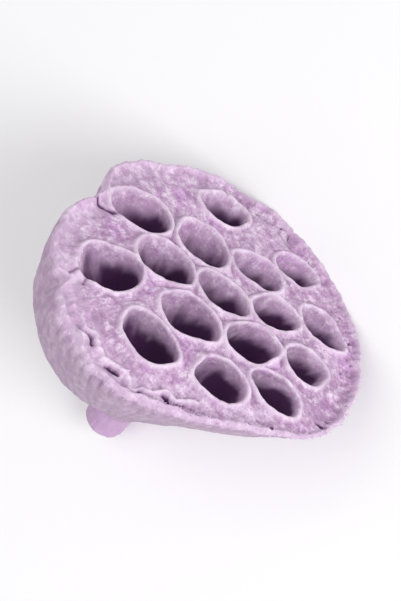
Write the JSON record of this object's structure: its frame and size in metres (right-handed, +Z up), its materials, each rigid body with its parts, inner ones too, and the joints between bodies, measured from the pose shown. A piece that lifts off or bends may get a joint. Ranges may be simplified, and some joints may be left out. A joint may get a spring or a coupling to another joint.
{
  "type": "dried lotus pod",
  "caption": "Dried lotus seed pod lying on its side: a broad lobed face of empty oval seed cells, a ribbed flank narrowing behind it and a short cut stalk",
  "frame": {"origin": "On the surface that the pod lies on, under the middle of its box", "axes": "+Z is up. The seed face looks towards -Y and up, and the cut stalk points towards +Y. X runs across the face."},
  "size_m": [0.0792, 0.0664, 0.0627],
  "materials": {
    "dried_pod": "matt, dry, felt-like, dyed lilac"
  },
  "bodies": {
    "root": {"lotus_pod": "dried_pod"}
  },
  "joints": []
}
